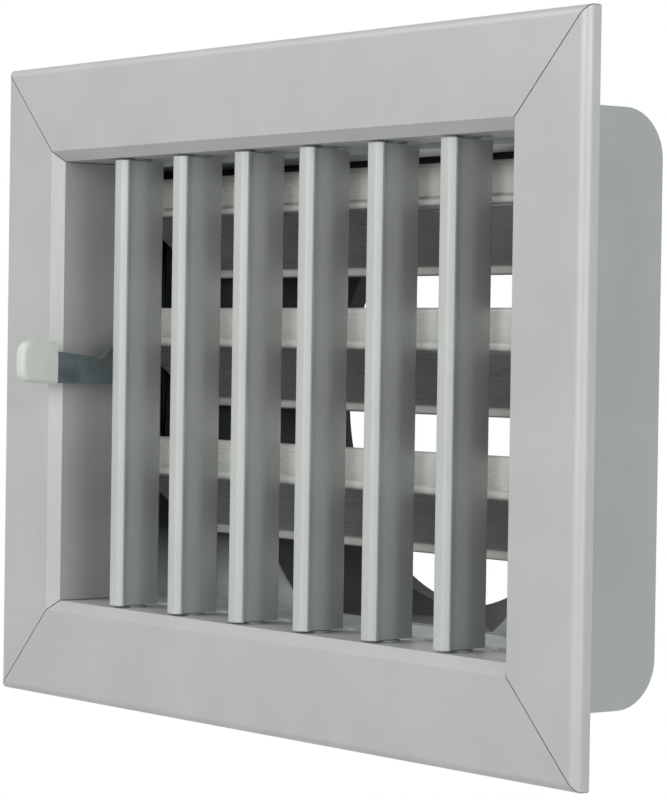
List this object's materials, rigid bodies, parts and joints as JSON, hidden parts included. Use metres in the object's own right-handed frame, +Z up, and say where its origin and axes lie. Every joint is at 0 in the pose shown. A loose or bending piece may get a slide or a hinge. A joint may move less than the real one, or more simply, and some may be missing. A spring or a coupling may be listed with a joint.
{
  "type": "ventilation grille",
  "caption": "Rectangular ventilation grille with a mitred flange, upright blades, a lever-worked damper behind them and a rear box with a round duct spigot.",
  "frame": {"origin": "centre of the flange on its wall side", "axes": "+Y into the wall along the duct, +Z up, +X to the right seen from the room; the visible face looks along -Y"},
  "size_m": [0.2784, 0.0991, 0.2],
  "materials": {
    "anodised_frame": "satin natural anodised extrusion",
    "cast_key": "plain mill finish",
    "spring_steel": "tempered strip",
    "rivet": "plain",
    "anodised_blade": "satin natural anodised extrusion",
    "steel_pin": "bright drawn wire",
    "grey_nylon": "moulded, slightly glossy",
    "white_nylon": "moulded",
    "galvanised_frame": "smooth galvanised sheet",
    "leaf_aluminium": "mill finish extrusion",
    "zinc_strip": "blue zinc plated strip",
    "white_plastic": "soft gloss moulding",
    "black_plastic": "moulded, satin",
    "galvanised_box": "smooth galvanised sheet, faint lengthwise grain"
  },
  "bodies": {
    "grille": {"frame_top": "anodised_frame", "frame_bottom": "anodised_frame", "frame_left": "anodised_frame", "frame_right": "anodised_frame", "corner_keys": "cast_key", "fixing_springs": "spring_steel", "spring_rivets": "rivet", "blade_bushes": "grey_nylon", "damper_top": "galvanised_frame", "damper_bottom": "galvanised_frame", "damper_left": "galvanised_frame", "damper_right": "galvanised_frame", "damper_bushes": "white_nylon", "damper_rivets": "rivet", "box_wrap": "galvanised_box", "box_left": "galvanised_box", "box_right": "galvanised_box", "box_rivets": "rivet", "spigot": "black_plastic", "spigot_rivets": "rivet"},
    "blade_1": {"blade_1": "anodised_blade", "blade_pins_1": "steel_pin"},
    "blade_2": {"blade_2": "anodised_blade", "blade_pins_2": "steel_pin"},
    "blade_3": {"blade_3": "anodised_blade", "blade_pins_3": "steel_pin"},
    "blade_4": {"blade_4": "anodised_blade", "blade_pins_4": "steel_pin"},
    "blade_5": {"blade_5": "anodised_blade", "blade_pins_5": "steel_pin"},
    "blade_6": {"blade_6": "anodised_blade", "blade_pins_6": "steel_pin"},
    "damper_1": {"leaf_1": "leaf_aluminium", "leaf_pins_1": "steel_pin", "crank_1": "zinc_strip", "crank_pin_1": "steel_pin"},
    "damper_2": {"leaf_2": "leaf_aluminium", "leaf_pins_2": "steel_pin", "lever": "zinc_strip", "lever_cap": "white_plastic", "crank_pin_2": "steel_pin"},
    "damper_3": {"leaf_3": "leaf_aluminium", "leaf_pins_3": "steel_pin", "crank_3": "zinc_strip", "crank_pin_3": "steel_pin"},
    "link": {"link_bar": "zinc_strip"}
  },
  "joints": [
    {"name": "blade_1_turn", "type": "hinge", "parent": "grille", "child": "blade_1", "pos_m": [-0.07925, 0.007, 0], "axis": [0, 0, 1], "range_deg": [-60, 60]},
    {"name": "blade_2_turn", "type": "hinge", "parent": "grille", "child": "blade_2", "pos_m": [-0.04755, 0.007, 0], "axis": [0, 0, 1], "range_deg": [-60, 60]},
    {"name": "blade_3_turn", "type": "hinge", "parent": "grille", "child": "blade_3", "pos_m": [-0.01585, 0.007, 0], "axis": [0, 0, 1], "range_deg": [-60, 60]},
    {"name": "blade_4_turn", "type": "hinge", "parent": "grille", "child": "blade_4", "pos_m": [0.01585, 0.007, 0], "axis": [0, 0, 1], "range_deg": [-60, 60]},
    {"name": "blade_5_turn", "type": "hinge", "parent": "grille", "child": "blade_5", "pos_m": [0.04755, 0.007, 0], "axis": [0, 0, 1], "range_deg": [-60, 60]},
    {"name": "blade_6_turn", "type": "hinge", "parent": "grille", "child": "blade_6", "pos_m": [0.07925, 0.007, 0], "axis": [0, 0, 1], "range_deg": [-60, 60]},
    {"name": "damper_lever", "type": "hinge", "parent": "grille", "child": "damper_2", "pos_m": [0, 0.022, 0.0129], "axis": [1, 0, 0], "range_deg": [-38, 6]},
    {"name": "damper_1_turn", "type": "hinge", "parent": "grille", "child": "damper_1", "pos_m": [0, 0.022, 0.0535], "axis": [1, 0, 0], "range_deg": [-38, 6]},
    {"name": "damper_3_turn", "type": "hinge", "parent": "grille", "child": "damper_3", "pos_m": [0, 0.022, -0.0277], "axis": [1, 0, 0], "range_deg": [-38, 6]},
    {"name": "link_turn", "type": "hinge", "parent": "damper_2", "child": "link", "pos_m": [-0.1055, 0.034, 0.0129], "axis": [1, 0, 0], "range_deg": [-6, 38]}
  ],
  "couplings": [
    {"joint": "damper_1_turn", "follows": "damper_lever", "ratio": 1},
    {"joint": "damper_3_turn", "follows": "damper_lever", "ratio": 1},
    {"joint": "link_turn", "follows": "damper_lever", "ratio": -1}
  ]
}
